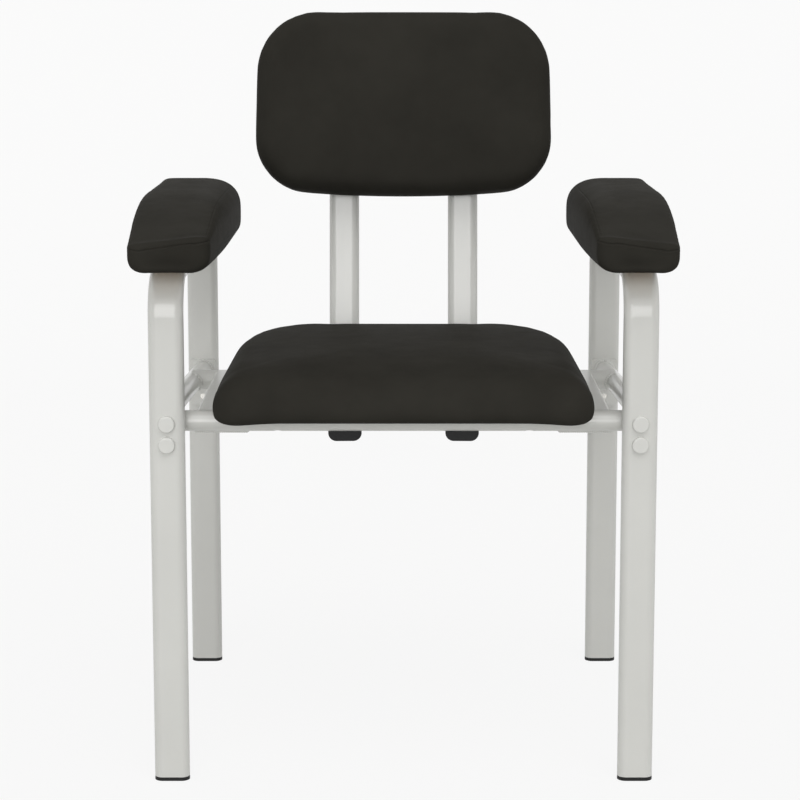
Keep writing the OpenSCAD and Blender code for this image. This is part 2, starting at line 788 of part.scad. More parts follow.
// One section of an arm pad: its corners and its top change from the nose to the level part
arm_points = 32;
function arm_section(y, inset) = let (
    nose = max(1 - y / (arm_nose_r + arm_ramp_len), 0),
    half_w = arm_w / 2 - arm_nose_taper * nose - inset,
    top = arm_top(y) - soft_gap,
    belly = top * (arm_belly_share + (arm_nose_belly_share - arm_belly_share) * nose),
    close = 1 - inset / arm_w)
    [for (i = [0 : arm_points - 1]) let (
        t = 360 * i / arm_points, quadrant = floor(4 * i / arm_points),
        n = arm_squareness[quadrant]
            + (arm_nose_squareness[quadrant] - arm_squareness[quadrant]) * nose,
        across = power(cos(t), 2 / n), up = power(sin(t), 2 / n),
        rise = up > 0 ? (top - belly - arm_nose_tilt / 2 * nose * across) * up
            : belly * max(up * arm_flat_share, -1))
        [half_w * across, y, belly + rise * close]];

module arm_cushion() {
    color("black") difference() {
        translate([arm_x, arm_y, frame_h + soft_gap])
            loft([for (s = arm_stations) arm_section(s[0], s[1])]);
        translate([0, 0, frame_h - overrun]) arm_board_form(board_t + overrun + soft_gap, soft_gap);
    }
}

module arm_screws() {
    screw_len = frame_tube_t + board_t * tee_barrel_share;
    color("silver") mirrored_pair() arm_screw_places()
        translate([0, 0, frame_h - frame_tube_t]) pad_screw(screw_len);
}

module arm_tee_nuts() {
    color("silver") mirrored_pair() arm_screw_places()
        translate([0, 0, frame_h + board_t]) tee_nut();
}

module right() {
    mirror([1, 0, 0]) children();
}

side_frame();  // left_side_frame
right() side_frame();  // right_side_frame
foot(front_leg_y);  // left_front_foot
foot(rear_leg_y);  // left_rear_foot
right() foot(front_leg_y);  // right_front_foot
right() foot(rear_leg_y);  // right_rear_foot
front_crossbar();
rear_crossbar();
crossbar_plugs();
side_rail();  // left_side_rail
right() side_rail();  // right_side_rail
seat_bearer();  // left_seat_bearer
right() seat_bearer();  // right_seat_bearer
bracket(front_plate_y, 0);  // left_front_bracket
bracket(rear_plate_y, rear_bolt_drop);  // left_rear_bracket
right() bracket(front_plate_y, 0);  // right_front_bracket
right() bracket(rear_plate_y, rear_bolt_drop);  // right_rear_bracket
leg_bolts();
bolt_caps();
backrest_bar();  // left_backrest_bar
right() backrest_bar();  // right_backrest_bar
bar_front_plugs();
bar_top_plugs();
seat_board();
seat_under_cloth();
seat_cushion();
seat_screws();
seat_tee_nuts();
backrest_board();
backrest_rear_panel();
backrest_cushion();
backrest_screws();
backrest_tee_nuts();
arm_board();  // left_arm_board
right() arm_board();  // right_arm_board
arm_cushion();  // left_arm_cushion
right() arm_cushion();  // right_arm_cushion
arm_screws();
arm_tee_nuts();
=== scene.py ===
# %% [markdown]
# # A blood-drawing chair
#
# The chair has a bolted frame of bent tube and four padded pieces: a seat, a back and two arm pads
# with a sloping nose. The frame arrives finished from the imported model, so this lesson gives it its
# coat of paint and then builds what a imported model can't hold: the vinyl skins with their seams,
# the weld beads, the staples under the seat, and the light in which the chair was photographed.

# %% Load the frame
import json
import math

import bmesh
import bpy
from mathutils import Matrix, Vector, noise
from mathutils.bvhtree import BVHTree
from mathutils.kdtree import KDTree


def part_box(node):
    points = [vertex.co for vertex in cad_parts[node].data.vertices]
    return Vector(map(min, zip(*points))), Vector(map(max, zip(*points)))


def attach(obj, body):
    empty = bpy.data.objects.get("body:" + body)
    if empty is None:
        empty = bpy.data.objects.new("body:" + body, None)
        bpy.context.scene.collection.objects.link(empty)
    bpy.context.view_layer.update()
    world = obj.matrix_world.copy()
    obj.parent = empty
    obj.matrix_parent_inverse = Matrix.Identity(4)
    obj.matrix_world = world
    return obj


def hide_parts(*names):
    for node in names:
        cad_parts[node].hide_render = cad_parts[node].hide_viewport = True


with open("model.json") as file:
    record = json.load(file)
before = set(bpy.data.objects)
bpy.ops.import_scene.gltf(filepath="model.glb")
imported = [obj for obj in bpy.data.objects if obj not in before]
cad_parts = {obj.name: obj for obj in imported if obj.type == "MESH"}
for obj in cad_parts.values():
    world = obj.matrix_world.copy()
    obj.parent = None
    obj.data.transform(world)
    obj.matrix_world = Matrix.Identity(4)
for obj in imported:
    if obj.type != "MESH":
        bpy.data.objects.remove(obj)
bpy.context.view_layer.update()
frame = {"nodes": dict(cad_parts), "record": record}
nodes = frame["nodes"]
print("nodes:", len(nodes))

# %% [markdown]
# ## The camera
#
# The photograph was taken from in front of the chair, a little above the arm pads, looking slightly
# down. A photographer keeps the legs upright by shifting the lens and not tilting it much, so the
# camera gets a small tilt and a small shift. Distances are measured from the front face of the
# front legs, because that is the plane that the photograph shows best.

# %% Set the camera
MM = 0.001
front_face_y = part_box("left_side_frame")[0].y
camera_distance = 2660 * MM
camera_height = 943 * MM
camera_tilt = math.radians(8.57)
camera_lens = 103.5
camera_shift_x, camera_shift_y = -0.0044, -0.08

camera_data = bpy.data.cameras.new("photo_camera")
camera_data.lens = camera_lens
camera_data.sensor_width = 36
camera_data.shift_x = camera_shift_x
camera_data.shift_y = camera_shift_y
camera_data.clip_end = 50
camera = bpy.data.objects.new("photo_camera", camera_data)
camera.location = (0, front_face_y - camera_distance, camera_height)
camera.rotation_euler = (math.pi / 2 - camera_tilt, 0, 0)
bpy.context.collection.objects.link(camera)
bpy.context.scene.camera = camera
bpy.context.scene.view_settings.view_transform = "Standard"
print("camera at", [round(v, 3) for v in camera.location])

# %% [markdown]
# ## The studio
#
# The chair stands on a pale floor in front of a white background. The floor is a large sheet that
# curves up behind the chair, as a paper roll does. The camera and the gloss on the tubes see the
# sheet brighter than it lights the chair, which keeps the background white and the chair's own
# colours true. A soft shadow stays under the feet. Beyond the sheet the sky is seen as white as the
# sheet is, so no horizon shows from the side or from behind.

# %% Roll out the floor
def camera_sees_white(tree, plain_shader, white_shader, white_share):
    """Mixes white over a shader for rays from the camera, and for those of gloss and of glass."""
    path = tree.nodes.new("ShaderNodeLightPath")
    seen = path.outputs["Is Camera Ray"]
    for kind in ("Is Glossy Ray", "Is Transmission Ray"):
        either = tree.nodes.new("ShaderNodeMath")
        either.operation = "MAXIMUM"
        tree.links.new(seen, either.inputs[0])
        tree.links.new(path.outputs[kind], either.inputs[1])
        seen = either.outputs[0]
    share = tree.nodes.new("ShaderNodeMath")
    share.operation = "MULTIPLY"
    share.inputs[1].default_value = white_share
    tree.links.new(seen, share.inputs[0])
    mix = tree.nodes.new("ShaderNodeMixShader")
    tree.links.new(share.outputs[0], mix.inputs[0])
    tree.links.new(plain_shader, mix.inputs[1])
    tree.links.new(white_shader, mix.inputs[2])
    return mix.outputs[0]


paper_colour, paper_white_share, sky_white_share = (0.6, 0.6, 0.59), 0.88, 0.9


def make_floor_paper():
    paper = bpy.data.materials.new("studio_paper")
    paper.use_nodes = True
    tree = paper.node_tree
    body = tree.nodes["Principled BSDF"]
    body.inputs["Base Color"].default_value = (*paper_colour, 1)
    body.inputs["Roughness"].default_value = 0.9
    body.inputs["Specular IOR Level"].default_value = 0.1
    glow = tree.nodes.new("ShaderNodeEmission")
    seen = camera_sees_white(tree, body.outputs[0], glow.outputs[0], paper_white_share)
    tree.links.new(seen, tree.nodes["Material Output"].inputs["Surface"])
    return paper


def make_floor():
    half_width, front_y, wall_y, curve_r, wall_top = 6.0, -6.0, 4.0, 1.5, 5.0
    steps = 16
    curve_y = wall_y - curve_r
    line = [(front_y, 0.0), (curve_y, 0.0)]
    for i in range(1, steps + 1):
        turn = math.pi / 2 * i / steps
        line.append((curve_y + curve_r * math.sin(turn), curve_r * (1 - math.cos(turn))))
    line.append((wall_y, wall_top))
    points = [(side * half_width, y, z) for y, z in line for side in (-1, 1)]
    faces = [(2 * i, 2 * i + 1, 2 * i + 3, 2 * i + 2) for i in range(len(line) - 1)]
    sheet = bpy.data.meshes.new("studio_floor")
    sheet.from_pydata(points, [], faces)
    sheet.polygons.foreach_set("use_smooth", [True] * len(faces))
    floor = bpy.data.objects.new("studio_floor", sheet)
    floor.data.materials.append(make_floor_paper())
    bpy.context.collection.objects.link(floor)
    return floor


floor = make_floor()
print("floor:", len(floor.data.polygons), "faces")

# %% [markdown]
# ## The lights
#
# Two large soft lights and a pale sky. One stands high in front of the chair, because the
# photograph's tubes and pads are brightest on top. One stands low in front, which lights the bends
# under the arm pads and the bars behind the seat. Two weak ones at the sides reach the rails. They
# are sun lamps with a wide angle, which light the rear legs as strongly as the front ones, as far
# softboxes do.

# %% Hang the lights
def add_soft_light(name, direction, spread, strength):
    """A wide sun lamp that shines from a direction towards the chair."""
    lamp_data = bpy.data.lights.new(name, "SUN")
    lamp_data.angle = math.radians(spread)
    lamp_data.energy = strength
    lamp = bpy.data.objects.new(name, lamp_data)
    lamp.location = direction
    lamp.rotation_euler = (-Vector(direction)).to_track_quat("-Z", "Y").to_euler()
    bpy.context.collection.objects.link(lamp)


add_soft_light("high_light", direction=(0.2, -1.0, 1.6), spread=45, strength=0.92)
add_soft_light("low_light", direction=(-0.3, -3.0, 0.5), spread=30, strength=0.98)
for side in (-1, 1):
    add_soft_light("side_light", direction=(3.0 * side, -0.6, 1.4), spread=60, strength=0.25)

sky_strength = 0.48
world = bpy.data.worlds.new("studio_sky")
bpy.context.scene.world = world
world.use_nodes = True
sky_tree = world.node_tree
sky = sky_tree.nodes["Background"]
sky.inputs["Color"].default_value = (1, 1, 1, 1)
sky.inputs["Strength"].default_value = sky_strength
white_sky = sky_tree.nodes.new("ShaderNodeBackground")
white_sky.inputs["Color"].default_value = (1, 1, 1, 1)
seen_sky = camera_sees_white(sky_tree, sky.outputs[0], white_sky.outputs[0], sky_white_share)
sky_tree.links.new(seen_sky, sky_tree.nodes["World Output"].inputs["Surface"])
print("lamps:", len(bpy.data.lights))

# %% [markdown]
# ## Finishes
#
# Every finish starts from the same small set of steps: a shader, a noise that varies its colour a
# little, and a finer noise that roughens it or dents it. A helper holds those steps, and each
# finish then says in its own numbers what it is. The noises run on the object's own coordinates, in
# metres, so a grain keeps its real size on a large pad and on a small plug.

# %% A helper for finishes
def start_finish(name, colour, roughness, metallic=0.0):
    """A new material and the parts of it that every finish works on."""
    finish = bpy.data.materials.new(name)
    finish.use_nodes = True
    tree = finish.node_tree
    body = tree.nodes["Principled BSDF"]
    body.inputs["Base Color"].default_value = (*colour, 1)
    body.inputs["Roughness"].default_value = roughness
    body.inputs["Metallic"].default_value = metallic
    place = tree.nodes.new("ShaderNodeTexCoord")
    return finish, tree, body, place.outputs["Object"]


def add_noise(tree, place, per_metre, detail=3.0, roughness=0.55):
    cloud = tree.nodes.new("ShaderNodeTexNoise")
    cloud.inputs["Scale"].default_value = per_metre
    cloud.inputs["Detail"].default_value = detail
    cloud.inputs["Roughness"].default_value = roughness
    tree.links.new(place, cloud.inputs["Vector"])
    return cloud.outputs["Fac"]


def vary_between(tree, driver, low, high, low_at=0.3, high_at=0.7):
    """Turns a noise into a colour that runs from low to high."""
    ramp = tree.nodes.new("ShaderNodeValToRGB")
    ramp.color_ramp.elements[0].position = low_at
    ramp.color_ramp.elements[1].position = high_at
    ramp.color_ramp.elements[0].color = (*low, 1)
    ramp.color_ramp.elements[1].color = (*high, 1)
    tree.links.new(driver, ramp.inputs[0])
    return ramp.outputs["Color"]


def colour_between(tree, body, driver, low, high):
    """Lets a noise run the colour from low to high."""
    tree.links.new(vary_between(tree, driver, low, high), body.inputs["Base Color"])


def roughen_between(tree, body, driver, low, high):
    """Lets a noise from 0 to 1 run the roughness from low to high."""
    span = tree.nodes.new("ShaderNodeMapRange")
    span.inputs["To Min"].default_value = low
    span.inputs["To Max"].default_value = high
    tree.links.new(driver, span.inputs["Value"])
    tree.links.new(span.outputs["Result"], body.inputs["Roughness"])


def add_dents(tree, body, height, depth, strength=1.0):
    """Dents a finish by a height from 0 to 1 that stands for depth in metres."""
    bump = tree.nodes.new("ShaderNodeBump")
    bump.inputs["Distance"].default_value = depth
    bump.inputs["Strength"].default_value = strength
    tree.links.new(height, bump.inputs["Height"])
    tree.links.new(bump.outputs["Normal"], body.inputs["Normal"])


def shade(colour, factor):
    return tuple(channel * factor for channel in colour)


print("finish helpers ready")

# %% [markdown]
# ## Powder coat
#
# The tubes are steel with a baked coat of pale grey powder. Powder melts into a thick skin that is
# glossy but never quite flat: up close it has the fine ripple that painters call orange peel. The
# ripple is a noise of about 3 mm, only a few hundredths of a millimetre deep, and the gloss comes
# from a clear coat over a softer base.

# %% Mix the powder coat
def make_powder_coat(name, colour):
    finish, tree, body, place = start_finish(name, colour, roughness=0.42)
    clouds = add_noise(tree, place, per_metre=9, detail=4)
    colour_between(tree, body, clouds, shade(colour, 0.975), shade(colour, 1.02))
    roughen_between(tree, body, add_noise(tree, place, per_metre=60), 0.36, 0.48)
    body.inputs["Coat Weight"].default_value = 0.55
    body.inputs["Coat Roughness"].default_value = 0.12
    orange_peel = add_noise(tree, place, per_metre=330, detail=2.5)
    add_dents(tree, body, orange_peel, depth=0.06 * MM, strength=0.5)
    return finish


powder_grey = (0.605, 0.605, 0.575)
powder_coat = make_powder_coat("powder_coat", powder_grey)
cap_plastic = make_powder_coat("cap_plastic", shade(powder_grey, 1.03))
print("powder coat:", powder_grey)

# %% [markdown]
# ## Black vinyl
#
# The pads are covered in smooth black vinyl. Its print is a very fine leather grain: flat pebbles
# with narrow valleys. A Voronoi pattern of distances gives the pebbles and a noise bends them out
# of line. A warm tint keeps the black from looking blue. The print scatters the light, so the gloss
# is weak.

# %% Mix the vinyl
def make_vinyl(name, colour, grain_per_metre=620, valley_share=0.22, wander=2 * MM):
    finish, tree, body, place = start_finish(name, colour, roughness=0.5)
    bent_place = tree.nodes.new("ShaderNodeVectorMath")
    bent_place.operation = "MULTIPLY_ADD"
    bent_place.inputs[1].default_value = (wander, wander, wander)
    tree.links.new(add_noise(tree, place, per_metre=140, detail=2), bent_place.inputs[0])
    tree.links.new(place, bent_place.inputs[2])
    pebbles = tree.nodes.new("ShaderNodeTexVoronoi")
    pebbles.feature = "DISTANCE_TO_EDGE"
    pebbles.inputs["Scale"].default_value = grain_per_metre
    tree.links.new(bent_place.outputs[0], pebbles.inputs["Vector"])
    valleys = tree.nodes.new("ShaderNodeMapRange")
    valleys.inputs["From Max"].default_value = valley_share
    tree.links.new(pebbles.outputs["Distance"], valleys.inputs["Value"])
    clouds = add_noise(tree, place, per_metre=14)
    colour_between(tree, body, clouds, shade(colour, 0.9), shade(colour, 1.1))
    roughen_between(tree, body, add_noise(tree, place, per_metre=45), 0.54, 0.64)
    body.inputs["Specular IOR Level"].default_value = 0.01
    add_dents(tree, body, valleys.outputs["Result"], depth=0.05 * MM, strength=0.35)
    return finish


vinyl_black = (0.0275, 0.0259, 0.0218)
vinyl = make_vinyl("vinyl", vinyl_black)
print("vinyl:", vinyl_black)

# %% [markdown]
# ## Black plastic, zinc, plywood and cloth
#
# The feet and plugs are moulded plastic with a fine spark-eroded texture. The screws and tee nuts
# are zinc plated, which shows as pale patches a few millimetres across. The boards are plywood,
# with a long grain and slow bands of shade. The dust cloth under the seat is felted, so it gets a
# soft noise and no weave.

# %% Mix the small finishes
def make_moulded_plastic(name, colour):
    finish, tree, body, place = start_finish(name, colour, roughness=0.5)
    body.inputs["Specular IOR Level"].default_value = 0.25
    clouds = add_noise(tree, place, per_metre=40)
    colour_between(tree, body, clouds, shade(colour, 0.85), shade(colour, 1.2))
    roughen_between(tree, body, add_noise(tree, place, per_metre=300), 0.42, 0.6)
    add_dents(tree, body, add_noise(tree, place, per_metre=1500, detail=2), 0.04 * MM, 0.5)
    return finish


def make_zinc(name, colour):
    finish, tree, body, place = start_finish(name, colour, roughness=0.35, metallic=1.0)
    colour_between(tree, body, add_noise(tree, place, per_metre=260), shade(colour, 0.8), colour)
    roughen_between(tree, body, add_noise(tree, place, per_metre=420), 0.25, 0.5)
    return finish


wave_at_scale_1 = 0.314  # metres from band to band of a wave texture


def make_plywood(name, light, dark, band_period=34 * MM, grain_stretch=0.06):
    finish, tree, body, place = start_finish(name, light, roughness=0.65)
    stretch = tree.nodes.new("ShaderNodeMapping")
    stretch.inputs["Scale"].default_value = (1, grain_stretch, 1)
    tree.links.new(place, stretch.inputs["Vector"])
    grain = add_noise(tree, stretch.outputs[0], per_metre=180, detail=6, roughness=0.6)
    bands = tree.nodes.new("ShaderNodeTexWave")
    bands.bands_direction = "Z"
    bands.inputs["Scale"].default_value = wave_at_scale_1 / band_period
    bands.inputs["Distortion"].default_value = 0.4
    tree.links.new(place, bands.inputs["Vector"])
    darken = tree.nodes.new("ShaderNodeMix")
    darken.data_type = "RGBA"
    darken.blend_type = "MULTIPLY"
    darken.inputs["Factor"].default_value = 0.35
    tree.links.new(vary_between(tree, grain, dark, light, 0.35, 0.65), darken.inputs["A"])
    tree.links.new(bands.outputs["Color"], darken.inputs["B"])
    tree.links.new(darken.outputs["Result"], body.inputs["Base Color"])
    add_dents(tree, body, grain, depth=0.1 * MM, strength=0.5)
    return finish


def make_dust_cloth(name, colour):
    finish, tree, body, place = start_finish(name, colour, roughness=0.95)
    fluff = add_noise(tree, place, per_metre=900, detail=4, roughness=0.7)
    colour_between(tree, body, fluff, shade(colour, 0.6), shade(colour, 1.6))
    body.inputs["Sheen Weight"].default_value = 0.2
    add_dents(tree, body, fluff, depth=0.2 * MM, strength=0.8)
    return finish


black_plastic = make_moulded_plastic("black_plastic", (0.009, 0.009, 0.009))
zinc = make_zinc("zinc", (0.68, 0.67, 0.63))
plywood = make_plywood("plywood", (0.55, 0.38, 0.2), (0.36, 0.22, 0.1))
dust_cloth = make_dust_cloth("dust_cloth", (0.014, 0.014, 0.014))
print("small finishes:", [m.name for m in (black_plastic, zinc, plywood, dust_cloth)])

# %% [markdown]
# ## Dressing the frame
#
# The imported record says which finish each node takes, so one table from the record's slots to the
# finishes dresses all of them. The nodes' own meshes stay as they came.

# %% Dress the frame
finish_of_slot = {
    "frame": powder_coat,
    "cap_plastic": cap_plastic,
    "foot_plastic": black_plastic,
    "plug_plastic": black_plastic,
    "plated_steel": zinc,
    "plywood": plywood,
    "under_cloth": dust_cloth,
    "vinyl": vinyl,
}
slot_of_node = {part["node"]: part["material_slot"] for part in frame["record"]["subparts"]}
for node_name, node in nodes.items():
    finish = finish_of_slot[slot_of_node[node_name]]
    for material_slot in node.material_slots:
        material_slot.material = finish
    if not node.material_slots:
        node.data.materials.append(finish)
print("dressed", len(nodes), "nodes")

# %% [markdown]
# ## What a pad is made of
#
# A pad is a skin of vinyl pulled over foam on a board. It could be sculpted by hand or made from a
# rounded box, but an upholsterer cuts foam to an outline first, so the skin starts the same way: an
# outline that is drawn in by a growing inset at the hem and at the upper edge. A loft through those
# rings gives the cut foam. Later steps let the skin swell over it.

# %% A skin through rings
def turned_corner(x, y, rx, ry, start, steps=16):
    """Points of a quarter turn about a corner's centre, with its two radii."""
    turns = [math.radians(start + 90 * i / steps) for i in range(steps + 1)]
    return [(x + rx * math.cos(turn), y + ry * math.sin(turn)) for turn in turns]


def pad_outline(w, d, front_r, rear_rx, rear_ry, taper, bow, inset):
    """A pad's outline drawn in by inset: its sides close by taper, its front bows out by bow."""
    half_d, front = d / 2 - inset, w / 2 - inset
    rear, f, rx, ry = front - taper, front_r - inset, rear_rx - inset, rear_ry - inset
    edge = [((f - front) * (1 - i / 12), -half_d) for i in range(1, 24)]
    ring = (turned_corner(rear - rx, half_d - ry, rx, ry, 0)
            + turned_corner(rx - rear, half_d - ry, rx, ry, 90)
            + turned_corner(f - front, f - half_d, f, f, 180) + edge
            + turned_corner(front - f, f - half_d, f, f, 270))
    return [(x, y - bow * (1 - (x / front) ** 2) * (y / half_d) ** 2 if y < 0 else y)
            for x, y in ring]


def squared(value, square):
    """A cosine or sine bent towards a square corner."""
    return math.copysign(abs(value) ** (2 / square), value)


def rim_rings(hem, edge, thickness, steps=9):
    """Inset and height of a rim's rings; the hem and the edge are each a width and a height."""
    turns = [math.pi / 2 * i / steps for i in range(steps + 1)]
    low = [(hem[0] * (1 - math.sin(turn)), hem[1] * (1 - math.cos(turn))) for turn in turns]
    high = [(edge[0] * (1 - math.cos(turn)), thickness - edge[1] * (1 - math.sin(turn)))
            for turn in turns]
    return low + high


def foam_rings(outline, hem, edge, thickness, crown, spare, crown_steps=10):
    """A crowned pad's rings, from below up, larger by the spare that the even faces cut off."""
    reach = max(y for x, y in outline(0))

    def crowned(z, share):
        return z + crown * (1 - share * share) * z / thickness

    rings = []
    for inset, z in rim_rings(hem, edge, thickness):
        rings.append([(x, y, crowned(z, 1 - inset / reach)) for x, y in outline(inset - spare)])
    inner = outline(edge[0] - spare)
    for k in range(crown_steps - 1, 0, -1):
        share = k / crown_steps
        z = crowned(thickness, share * (1 - edge[0] / reach))
        rings.append([(share * x, share * y, z) for x, y in inner])
    return rings


def skin_through(name, rings):
    """A closed mesh through rings of equal count, filled to a point at both ends."""
    count = len(rings[0])
    points = [Vector(point) for ring in rings for point in ring]
    faces = []
    for k in range(len(rings) - 1):
        for i in range(count):
            j = (i + 1) % count
            faces.append((k * count + i, k * count + j, (k + 1) * count + j, (k + 1) * count + i))
    for ring, start in ((rings[0], 0), (rings[-1], (len(rings) - 1) * count)):
        middle = sum((Vector(point) for point in ring), Vector()) / count
        points.append(middle)
        faces += [(start + i, start + (i + 1) % count, len(points) - 1) for i in range(count)]
    mesh = bpy.data.meshes.new(name)
    mesh.from_pydata(points, [], faces)
    soft = bmesh.new()
    soft.from_mesh(mesh)
    bmesh.ops.recalc_face_normals(soft, faces=soft.faces)
    soft.to_mesh(mesh)
    soft.free()
    skin = bpy.data.objects.new(name, mesh)
    bpy.context.collection.objects.link(skin)
    return skin


print("skin helpers ready")

# %% [markdown]
# ## Letting the vinyl swell
#
# Foam pushes the vinyl outwards, most where it is far from a hem or a corner. That is what a cloth
# simulation with inner pressure does, so the skin is first divided into even faces with a voxel
# remesh and then pressed from inside for twenty frames. The hem is held, gravity is off, and the
# swelling is scaled so that its furthest point moves by a chosen amount. The result is written into
# the mesh, and one subdivision makes it smooth.

# %% Helpers for the swelling
def freeze(piece):
    """Applies a piece's modifiers to its mesh."""
    graph = bpy.context.evaluated_depsgraph_get()
    done = bpy.data.meshes.new_from_object(piece.evaluated_get(graph))
    old = piece.data
    piece.modifiers.clear()
    piece.data = done
    bpy.data.meshes.remove(old)
    done.polygons.foreach_set("use_smooth", [True] * len(done.polygons))


def even_faces(piece, size, relaxing):
    remesh = piece.modifiers.new("even_faces", "REMESH")
    remesh.mode = "VOXEL"
    remesh.voxel_size = size
    relax = piece.modifiers.new("relax", "SMOOTH")
    relax.factor = 0.5
    relax.iterations = relaxing
    freeze(piece)


def swell(piece, furthest, held_below, pressure=4.0, frames=20):
    """Presses a skin out from inside; what lies below held_below stays."""
    scene = bpy.context.scene
    start = [v.co.copy() for v in piece.data.vertices]
    held = piece.vertex_groups.new(name="hem")
    held.add([i for i, place in enumerate(start) if place.z < held_below], 1.0, "ADD")
    cloth = piece.modifiers.new("vinyl_skin", "CLOTH")
    cloth.settings.vertex_group_mass = "hem"
    cloth.settings.use_pressure = True
    cloth.settings.uniform_pressure_force = pressure
    cloth.settings.effector_weights.gravity = 0
    cloth.collision_settings.use_collision = False
    cloth.point_cache.frame_start = 1
    cloth.point_cache.frame_end = frames
    for frame_number in range(1, frames + 1):
        scene.frame_set(frame_number)
    pressed = piece.evaluated_get(bpy.context.evaluated_depsgraph_get())
    moves = [v.co - place for v, place in zip(pressed.data.vertices, start)]
    longest = max(move.length for move in moves)
    piece.modifiers.clear()
    piece.vertex_groups.clear()
    for v, place, move in zip(piece.data.vertices, start, moves):
        v.co = place + move * min(1, furthest / longest)
    scene.frame_set(1)
    return longest


def finish_skin(piece, furthest, held_below, face_size=5 * MM, relaxing=3):
    """Even faces, the swelling and one subdivision."""
    even_faces(piece, face_size, relaxing)
    longest = swell(piece, furthest, held_below)
    fine = piece.modifiers.new("fine", "SUBSURF")
    fine.levels = 1
    freeze(piece)
    print(piece.name, len(piece.data.polygons), "faces, pressed", round(longest / MM, 1), "mm")


print("swelling helpers ready")

# %% [markdown]
# ## A pocket for the board
#
# Each skin is open below where its plywood board sits, as real vinyl is pulled round the board's
# edge and stapled under it. The pocket is cut with a boolean, a little larger than the board all
# round, so that the vinyl touches nothing.

# %% A helper for the pocket
soft_gap, cutter_overrun = 0.3 * MM, 2 * MM


def prism(name, outline, low, high):
    """A straight-sided block over an outline, between two heights."""
    count = len(outline)
    points = [(x, y, z) for z in (low, high) for x, y in outline]
    faces = [tuple(reversed(range(count))), tuple(range(count, 2 * count))]
    faces += [(i, (i + 1) % count, count + (i + 1) % count, count + i) for i in range(count)]
    mesh = bpy.data.meshes.new(name)
    mesh.from_pydata(points, [], faces)
    block = bpy.data.objects.new(name, mesh)
    bpy.context.collection.objects.link(block)
    return block


def cut_pocket(piece, outline, depth):
    cutter = prism("board_pocket", outline, -cutter_overrun, depth + soft_gap)
    pocket = piece.modifiers.new("pocket", "BOOLEAN")
    pocket.object = cutter
    pocket.operation = "DIFFERENCE"
    pocket.solver = "EXACT"
    freeze(piece)
    bpy.data.objects.remove(cutter)


def put_in_place(piece, matrix, *replaced):
    """Moves a finished pad to its node, gives it the vinyl and hides the imported parts that it
    replaces.
    """
    piece.data.transform(matrix)
    piece.data.materials.clear()
    piece.data.materials.append(vinyl)
    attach(piece, "root")
    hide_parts(*replaced)


print("pocket helpers ready")

# %% [markdown]
# ## The seat
#
# Seen from above the seat has straight sides that close a little towards the back, small corners in
# front and long rounded ones behind. Its front edge is a wide soft roll, its hem a small one, and
# its top is nearly flat. Where the vinyl is gathered under the two front corners it hangs a little
# lower. The numbers below are the pad's own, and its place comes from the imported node.

# %% Make the seat
seat_low, seat_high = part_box("seat_cushion")
seat_w, seat_d = seat_high.x - seat_low.x, seat_high.y - seat_low.y
seat_t, seat_hem, seat_edge = 55 * MM, (7.5 * MM, 17 * MM), (35 * MM, 38 * MM)
seat_front_corner_r, seat_rear_corner_w, seat_rear_corner_d = 38 * MM, 102 * MM, 160 * MM
seat_crown, seat_spare, seat_rear_taper, seat_board_margin = 6 * MM, 1.7 * MM, 4 * MM, 9 * MM
board_t, under_cloth_t = 12 * MM, 0.8 * MM


def seat_outline(inset):
    return pad_outline(seat_w, seat_d, seat_front_corner_r, seat_rear_corner_w, seat_rear_corner_d,
                       seat_rear_taper, 0, inset)


def settle_front(piece, top_drop, corner_drop, top_reach=120 * MM, corner_reach=50 * MM):
    """Lowers the top towards its front edge, and the hem where it hangs at the front corners."""
    for v in piece.data.vertices:
        from_front = v.co.y + seat_d / 2
        to_corner = math.hypot(abs(v.co.x) - seat_w / 2, from_front) / corner_reach
        height = min(max(v.co.z / seat_t, 0), 1)
        v.co.z -= top_drop * max(1 - from_front / top_reach, 0) ** 2 * height
        v.co.z -= corner_drop * math.exp(-to_corner ** 2) * max(1 - v.co.z / seat_edge[1], 0)


seat_foam = foam_rings(seat_outline, seat_hem, seat_edge, seat_t, seat_crown, seat_spare)
seat = skin_through("seat_pad", seat_foam)
finish_skin(seat, furthest=3.5 * MM, held_below=6 * MM)
settle_front(seat, top_drop=11 * MM, corner_drop=4.5 * MM)
cut_pocket(seat, seat_outline(seat_board_margin - soft_gap), board_t + under_cloth_t)
seat_place = Matrix.Translation((0, (seat_low.y + seat_high.y) / 2, seat_low.z))
put_in_place(seat, seat_place, "seat_cushion")

# %% [markdown]
# ## The back
#
# The back is thinner and has large round corners, and its lower edge bows down a little. It leans
# with the uprights, so it is made lying on its rear side and then turned up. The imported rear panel,
# which is the flat cover behind the board, says where its middle is.

# %% Make the back
recline = math.radians(8)
back_w, back_h, back_t = 393 * MM, 244 * MM, 52 * MM
back_hem, back_edge, back_corner_r = (7 * MM, 8 * MM), (22 * MM, 24 * MM), 79 * MM
back_taper, back_bow, back_board_margin, rear_panel_t = 2 * MM, 6 * MM, 10 * MM, 3 * MM
back_crown, back_spare = 3.5 * MM, 1.2 * MM
skin_bow, skin_cut, skin_corner_cut, skin_lift = 12 * MM, 12 * MM, 18 * MM, 4.5 * MM


def back_outline(inset):
    return pad_outline(back_w, back_h, back_corner_r, back_corner_r, back_corner_r,
                       back_taper, back_bow, inset)


def back_skin_outline(inset):
    """The skin's outline bows more below than the board does."""
    ring = pad_outline(back_w, back_h - skin_cut, back_corner_r - skin_corner_cut,
                       back_corner_r, back_corner_r, back_taper, skin_bow, inset)
    return [(x, y + skin_lift) for x, y in ring]


